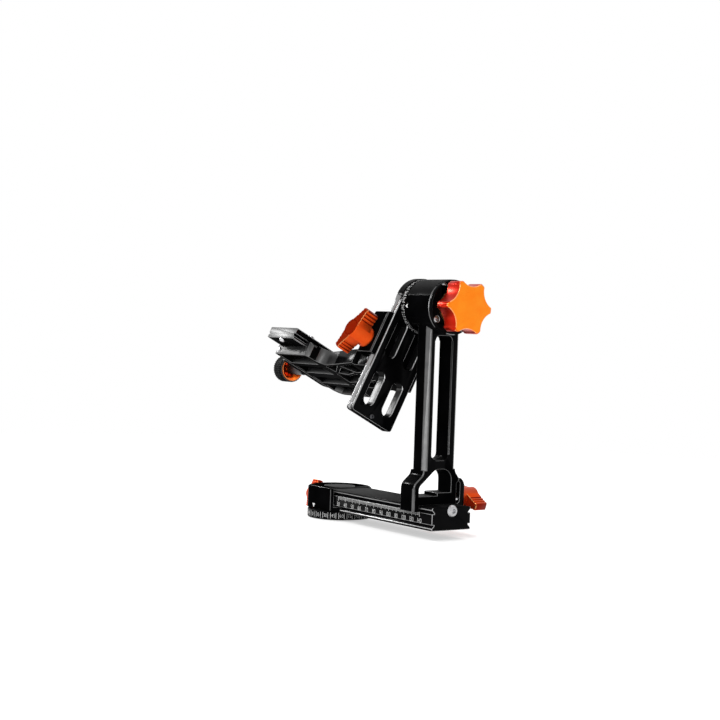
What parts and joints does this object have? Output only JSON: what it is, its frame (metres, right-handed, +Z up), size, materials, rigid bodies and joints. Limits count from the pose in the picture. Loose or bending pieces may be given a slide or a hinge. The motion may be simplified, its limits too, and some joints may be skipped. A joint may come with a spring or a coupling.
{
  "type": "gimbal tripod head",
  "caption": "Gimbal tripod head with a turning base, dovetail rail, slotted upright, tilting swing arm, sliding cradle and clamped lens plate.",
  "frame": {"origin": "pan axis at the underside of the base, at the mouth of the tripod thread", "axes": "+X runs along the rail from the pan axis to the upright and its tilt knob, +Z is up, -Y is the front end of the lens plate"},
  "size_m": [0.2248, 0.1098, 0.202],
  "materials": {
    "black_anodised": "satin black anodised, edges machined bright",
    "orange_anodised": "bright orange anodised",
    "bright_steel": "bright stainless",
    "dark_steel": "blackened spring steel",
    "bronze": "plain bronze",
    "pad_rubber": "ribbed black rubber"
  },
  "bodies": {
    "base": {"pan_base": "black_anodised", "thread_insert": "bright_steel", "pan_circlip": "dark_steel"},
    "turret": {"pan_housing": "black_anodised", "pan_bearings": "bright_steel", "pan_cap": "black_anodised", "base_rail": "black_anodised", "rail_screws": "bright_steel", "rail_stop_screw": "bright_steel", "pan_brake_pad": "bronze"},
    "pan_lock": {"pan_knob": "orange_anodised", "pan_knob_stud": "bright_steel"},
    "carriage": {"vertical_arm": "black_anodised", "tilt_bearings": "bright_steel", "bearing_spacer": "bright_steel", "drum_cap": "black_anodised", "drum_cap_screws": "bright_steel", "foot_pins": "bright_steel"},
    "rear_jaw": {"foot_jaw": "black_anodised"},
    "rail_lock": {"foot_knob": "orange_anodised", "foot_stud": "bright_steel", "foot_clip": "dark_steel"},
    "swing": {"swing_arm": "black_anodised", "index_ring": "black_anodised", "tilt_shaft": "bright_steel", "swing_arm_screws": "bright_steel", "swing_stop_screw": "bright_steel", "groove_stop_pins": "dark_steel", "thrust_washers": "bronze"},
    "tilt_lock": {"tilt_knob": "orange_anodised", "tilt_knob_stud": "bright_steel"},
    "cradle": {"cradle_bracket": "black_anodised", "pin_lock_screw": "bright_steel", "cradle_pins": "bright_steel", "lens_pins": "bright_steel"},
    "arm_jaw": {"cradle_jaw": "black_anodised"},
    "height_lock": {"cradle_knob": "orange_anodised", "cradle_stud": "bright_steel", "cradle_clip": "dark_steel"},
    "plate_jaw": {"lens_jaw": "black_anodised"},
    "plate_lock": {"lens_stud": "dark_steel", "lens_knob_grip": "black_anodised", "lens_knob_dish": "orange_anodised", "lens_clip": "dark_steel"},
    "plate": {"lens_plate": "black_anodised", "plate_pads": "pad_rubber", "camera_screws": "bright_steel", "plate_stop_screws": "bright_steel"}
  },
  "joints": [
    {"name": "pan", "type": "hinge", "parent": "base", "child": "turret", "pos_m": [0, 0, 0], "axis": [0, 0, 1], "continuous": true},
    {"name": "pan_knob_turn", "type": "hinge", "parent": "turret", "child": "pan_lock", "pos_m": [0, 0, 0.0155], "axis": [-1, 0, 0], "range_deg": [-360, 360]},
    {"name": "arm_slide", "type": "slide", "parent": "turret", "child": "carriage", "axis": [1, 0, 0], "range_m": [-0.088, 0.0165]},
    {"name": "foot_jaw_slide", "type": "slide", "parent": "carriage", "child": "rear_jaw", "axis": [0, 1, 0], "range_m": [0, 0.002]},
    {"name": "foot_knob_turn", "type": "hinge", "parent": "rear_jaw", "child": "rail_lock", "pos_m": [0.124, 0, 0.0293], "axis": [0, 1, 0], "range_deg": [0, 720]},
    {"name": "tilt", "type": "hinge", "parent": "carriage", "child": "swing", "pos_m": [0, 0, 0.1797], "axis": [1, 0, 0], "continuous": true},
    {"name": "tilt_knob_turn", "type": "hinge", "parent": "swing", "child": "tilt_lock", "pos_m": [0.1467, 0, 0.1797], "axis": [1, 0, 0], "range_deg": [-180, 180]},
    {"name": "cradle_slide", "type": "slide", "parent": "swing", "child": "cradle", "axis": [0, 0.4587, 0.8886], "range_m": [-0.03, 0.01]},
    {"name": "cradle_jaw_slide", "type": "slide", "parent": "cradle", "child": "arm_jaw", "axis": [0, -0.8886, 0.4587], "range_m": [0, 0.002]},
    {"name": "cradle_knob_turn", "type": "hinge", "parent": "arm_jaw", "child": "height_lock", "pos_m": [0.091, -0.04215, 0.15363], "axis": [0, -0.8886, 0.4587], "range_deg": [0, 720]},
    {"name": "lens_jaw_slide", "type": "slide", "parent": "cradle", "child": "plate_jaw", "axis": [-1, 0, 0], "range_m": [0, 0.002]},
    {"name": "lens_knob_turn", "type": "hinge", "parent": "plate_jaw", "child": "plate_lock", "pos_m": [-0.046, -0.02165, 0.12336], "axis": [-1, 0, 0], "range_deg": [0, 720]},
    {"name": "plate_slide", "type": "slide", "parent": "cradle", "child": "plate", "axis": [0, 0.8886, -0.4587], "range_m": [-0.024, 0.008]}
  ],
  "couplings": [
    {"joint": "foot_knob_turn", "follows": "foot_jaw_slide", "rad_per_m": 6283.2},
    {"joint": "cradle_knob_turn", "follows": "cradle_jaw_slide", "rad_per_m": 6283.2},
    {"joint": "lens_knob_turn", "follows": "lens_jaw_slide", "rad_per_m": 6283.2}
  ]
}
